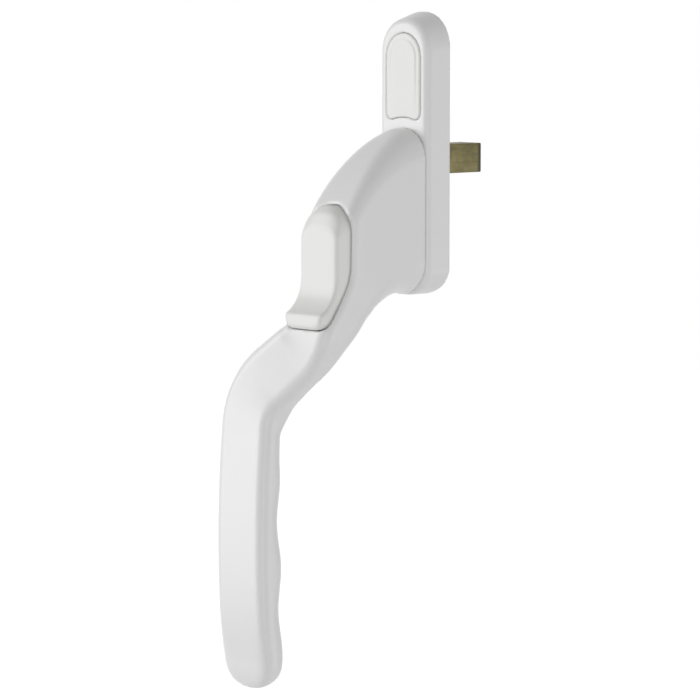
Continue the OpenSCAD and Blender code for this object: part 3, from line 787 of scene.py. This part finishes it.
class Tree:
    """A node tree that is cleared and built again."""

    def __init__(self, owner, end):
        owner.use_nodes = True
        self.tree = owner.node_tree
        self.tree.nodes.clear()
        self.end = self.tree.nodes.new(end)

    def node(self, kind, settings={}, inputs={}, out=0):
        """Makes a node: its settings first, then values or links for its sockets."""
        made = self.tree.nodes.new(kind)
        for key, value in settings.items():
            if key == "stops":
                ramp = made.color_ramp.elements
                while len(ramp) < len(value):
                    ramp.new(0.5)
                for stop, (at, colour) in zip(ramp, value):
                    stop.position, stop.color = at, (*colour, 1)
            else:
                setattr(made, key, value)
        for key, value in inputs.items():
            if isinstance(value, Tone):
                self.tree.links.new(value.socket, made.inputs[key])
            else:
                made.inputs[key].default_value = value
        return Tone(self, made.outputs[out])

    def finish(self, shader):
        self.tree.links.new(shader.socket, self.end.inputs["Surface"])


class Finish(Tree):
    """A node material with a Principled surface."""

    def __init__(self, name, **constants):
        self.material = bpy.data.materials.new(name)
        super().__init__(self.material, "ShaderNodeOutputMaterial")
        named = {key.replace("_", " "): value for key, value in constants.items()}
        shader = self.node("ShaderNodeBsdfPrincipled", {}, named)
        self.surface = shader.socket.node
        self.finish(shader)
        self.place = self.node("ShaderNodeTexCoord", out="Object")

    def noise(self, size, detail=2.0, rough=0.5, stretch=(1, 1, 1)):
        """Cloudy noise whose blotches are about size millimetres wide."""
        turned = self.node("ShaderNodeMapping", {}, {"Vector": self.place, "Scale": stretch})
        return self.node("ShaderNodeTexNoise", {}, {
            "Vector": turned, "Scale": 1 / (size * MM), "Detail": detail, "Roughness": rough})

    def blend(self, share, first, second):
        """A colour between two colours."""
        return self.node("ShaderNodeMix", {"data_type": "RGBA"}, {
            0: share, 6: first if isinstance(first, Tone) else (*first, 1),
            7: second if isinstance(second, Tone) else (*second, 1)}, out=2)

    def bump(self, height, distance, strength):
        return self.node("ShaderNodeBump", {}, {
            "Height": height, "Distance": distance * MM, "Strength": strength})

    def set(self, **links):
        for key, value in links.items():
            self.tree.links.new(value.socket, self.surface.inputs[key.replace("_", " ")])

    def on(self, piece):
        piece.data.materials.clear()
        piece.data.materials.append(self.material)


print("finish nodes ready")

# %% [markdown]
# ## White powder coat
#
# The castings are sprayed with white polyester powder and baked. The coat is never
# quite flat: it has a fine orange peel, slightly different shine from place to place
# and a hardly visible drift in its white.

# %% Powder coat
coat = Finish("white_powder_coat", IOR=1.5)
drift = coat.noise(14, 2)
peel = coat.noise(0.9, 2)
grain = coat.noise(0.22, 1)
coat.set(
    Base_Color=coat.blend(drift, (0.80, 0.81, 0.805), (0.83, 0.835, 0.825)),
    Roughness=0.27 + 0.06 * drift + 0.05 * grain,
    Normal=coat.bump(0.7 * peel + 0.3 * grain, 0.03, 0.25))
for piece in (lever, plate):
    coat.on(piece)
print(coat.material.name, len(coat.tree.nodes), "nodes")

# %% [markdown]
# ## White moulded plastic
#
# The button and the cap are moulded in white plastic that is a shade warmer than the
# coat. The mould was spark eroded, which leaves a very fine even grain.

# %% Moulded plastic
plastic = Finish("white_moulded_plastic", IOR=1.46)
cloud = plastic.noise(9, 2)
spark = plastic.noise(0.3, 3, 0.6)
plastic.set(
    Base_Color=plastic.blend(cloud, (0.81, 0.81, 0.795), (0.83, 0.83, 0.815)),
    Roughness=0.32 + 0.08 * spark,
    Normal=plastic.bump(spark, 0.02, 0.2))
for piece in (button, cap):
    plastic.on(piece)
print(plastic.material.name, len(plastic.tree.nodes), "nodes")

# %% [markdown]
# ## Yellow passivated steel
#
# The bar is zinc plated and dipped in a yellow passivate. That film is thin and uneven, so it drifts from
# olive to brown with duller streaks along the bar. Its colour is also painted darker towards the top of
# the bar and painted nearly black at its back end, as painted shade.

# %% Yellow passivate
yellow = Finish("yellow_passivated_steel")
patch = yellow.noise(2.2, 3, 0.6)
streak = yellow.noise(1.0, 2, 0.6, (1.6, 0.15, 1.6))
rise = yellow.node("ShaderNodeSeparateXYZ", {}, {"Vector": yellow.place}, out="Z")
# Painted shade: besides the film's own drift, the height term paints the bar darker towards its top.
passivate_and_top_shade = yellow.node("ShaderNodeValToRGB", {"stops": [
    (0.30, (0.10, 0.092, 0.045)), (0.5, (0.17, 0.148, 0.066)), (0.7, (0.235, 0.205, 0.105))]},
    {"Fac": 0.55 * patch + 0.45 * streak - 18 * rise})
depth = yellow.node("ShaderNodeSeparateXYZ", {}, {"Vector": yellow.place}, out="Y")
# Painted shade: the last millimetre or so of the bar's back end is painted nearly black.
painted_end_shade = yellow.node("ShaderNodeMapRange", {}, {
    "Value": depth + 0.8 * MM * patch, "From Min": 14.9 * MM, "From Max": 15.8 * MM})
yellow.set(
    Base_Color=yellow.blend(painted_end_shade, passivate_and_top_shade, (0.06, 0.055, 0.03)),
    Metallic=0.75 + 0.2 * patch,
    Roughness=0.40 + 0.2 * streak,
    Normal=yellow.bump(streak, 0.03, 0.3))
yellow.on(bar)
print(yellow.material.name, len(yellow.tree.nodes), "nodes")

# %% [markdown]
# ## Pieces inside
#
# The pieces inside keep the working model's shapes, which are right as they are. They
# get their own finishes: bright zinc on pins and washers, blued spring steel on the
# springs, and dark acetal on the bushes that run without oil.

# %% Finishes for the inner pieces
bright = Finish("bright_zinc_plate", Metallic=1.0)
brushed = bright.noise(0.5, 3, 0.6, (1, 0.2, 1))
bright.set(
    Base_Color=bright.blend(brushed, (0.55, 0.56, 0.58), (0.70, 0.71, 0.72)),
    Roughness=0.25 + 0.2 * brushed,
    Normal=bright.bump(brushed, 0.01, 0.25))
blued = Finish("tempered_spring_steel", Metallic=1.0)
temper = blued.noise(3, 3, 0.55)
blued.set(
    Base_Color=blued.blend(temper, (0.16, 0.17, 0.20), (0.28, 0.27, 0.26)),
    Roughness=0.3 + 0.2 * temper,
    Normal=blued.bump(blued.noise(0.2), 0.01, 0.2))
acetal = Finish("dark_acetal", IOR=1.48)
waxy = acetal.noise(0.6, 3, 0.55)
acetal.set(
    Base_Color=acetal.blend(waxy, (0.013, 0.013, 0.015), (0.022, 0.022, 0.024)),
    Roughness=0.38 + 0.12 * waxy,
    Normal=acetal.bump(waxy, 0.01, 0.2))
inner = {
    bright: ("hub_washer", "hub_circlip", "back_cover", "back_rivet_upper", "back_rivet_lower",
             "spindle_pin", "button_stem", "stem_clip", "latch_pivot"),
    blued: ("index_spring", "button_spring", "latch_spring"),
    acetal: ("bearing_bush", "glide_washer", "stem_guide"),
}
for finish, names in inner.items():
    for name in names:
        finish.on(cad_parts[name])
    print(finish.material.name, "on", len(names), "pieces")

# %% [markdown]
# ## Camera
#
# The handle is seen from the right of its front and slightly from above, through a
# long lens. The camera looks at a point near the handle's middle, and its place is
# given by two angles and a distance.

# %% Camera
AZIMUTH, ELEVATION, DISTANCE = math.radians(47.228), math.radians(5.781), 0.8195
target = spot(0, 23.726, -44.053)
to_camera = Vector((math.sin(AZIMUTH) * math.cos(ELEVATION),
                    -math.cos(AZIMUTH) * math.cos(ELEVATION), math.sin(ELEVATION)))
lone()
bpy.ops.object.camera_add(location=target + DISTANCE * to_camera)
camera = bpy.context.object
camera.rotation_mode = "QUATERNION"
camera.rotation_quaternion = (-to_camera).to_track_quat("-Z", "Y")
camera.data.sensor_width = 36
camera.data.lens = 179.7
camera.data.clip_start, camera.data.clip_end = 0.01, 50
scene = bpy.context.scene
scene.camera = camera
scene.view_settings.view_transform = "Standard"
print("lens:", camera.data.lens, "mm")

# %% [markdown]
# ## Light
#
# The handle is lit like a catalogue picture. A tall soft box stands in front on the
# left, so that the front faces mirror it to the camera. A weaker one stands behind on
# the right and lifts the sides. Edges that face the camera would get neither, so a
# third box near the camera fills them a little.

# %% Soft boxes
def soft_box(name, around, above, distance, size, power):
    """A large lamp at an angle round the handle from its front, aimed at its middle."""
    aim = spot(0, 25, -50)
    turn, lift = math.radians(around), math.radians(above)
    away = Vector((math.sin(turn) * math.cos(lift), -math.cos(turn) * math.cos(lift), math.sin(lift)))
    lone()
    bpy.ops.object.light_add(type="AREA", location=aim + distance * away)
    lamp = bpy.context.object
    lamp.name = name
    lamp.data.shape = "RECTANGLE"
    lamp.data.size, lamp.data.size_y = size
    lamp.data.energy = power
    lamp.rotation_mode = "QUATERNION"
    lamp.rotation_quaternion = (-away).to_track_quat("-Z", "Y")


soft_box("front_box", -48, 9, 1.3, (0.6, 1.15), 8.6)
soft_box("side_box", 115, -12, 1.4, (1.0, 1.0), 4.0)
soft_box("fill_box", 42, -6, 1.5, (0.8, 0.8), 4.0)

# %% [markdown]
# ## Surroundings
#
# The picture has a pure white ground. The surroundings are white to the camera and in
# reflections, and give the object itself only a moderate even light.

# %% White surroundings
def looked_at(tree):
    """One for rays from the camera, from a reflection or through glass, and zero for the rest."""
    rays = [tree.node("ShaderNodeLightPath", out=name)
            for name in ("Is Camera Ray", "Is Glossy Ray", "Is Transmission Ray")]
    return rays[0].sum("MAXIMUM", rays[0].sum("MAXIMUM", rays[0], rays[1]), rays[2])


scene.world = scene.world or bpy.data.worlds.new("studio")
studio = Tree(scene.world, "ShaderNodeOutputWorld")
even = studio.node("ShaderNodeBackground", {}, {"Color": (1, 1, 1, 1), "Strength": 0.375})
white = studio.node("ShaderNodeBackground", {}, {"Color": (1, 1, 1, 1), "Strength": 1.0})
studio.finish(studio.node("ShaderNodeMixShader", {}, {0: looked_at(studio), 1: even, 2: white}))
print("surroundings:", len(studio.tree.nodes), "nodes")

# %% [markdown]
# ## Floor
#
# A pale floor lies far below the handle. It glows almost white to the camera and keeps
# the handle's faint shadow in the rest of its shading.

# %% Floor
lone()
bpy.ops.mesh.primitive_plane_add(size=12, location=(0, 0, -0.9))
floor = bpy.context.object
floor.name = "floor"
pale_floor = bpy.data.materials.new("pale_floor")
pale = Tree(pale_floor, "ShaderNodeOutputMaterial")
matt = pale.node("ShaderNodeBsdfDiffuse", {}, {"Color": (0.8, 0.8, 0.8, 1)})
glow = pale.node("ShaderNodeEmission", {}, {"Strength": 1.14})
pale.finish(pale.node("ShaderNodeMixShader", {}, {0: 0.9 * looked_at(pale), 1: matt, 2: glow}))
floor.data.materials.append(pale_floor)
print("floor at", floor.location.z, "m")

# %% [markdown]
# ## Last step
#
# Nothing is left selected at the end.

# %% Leave nothing selected
lone()
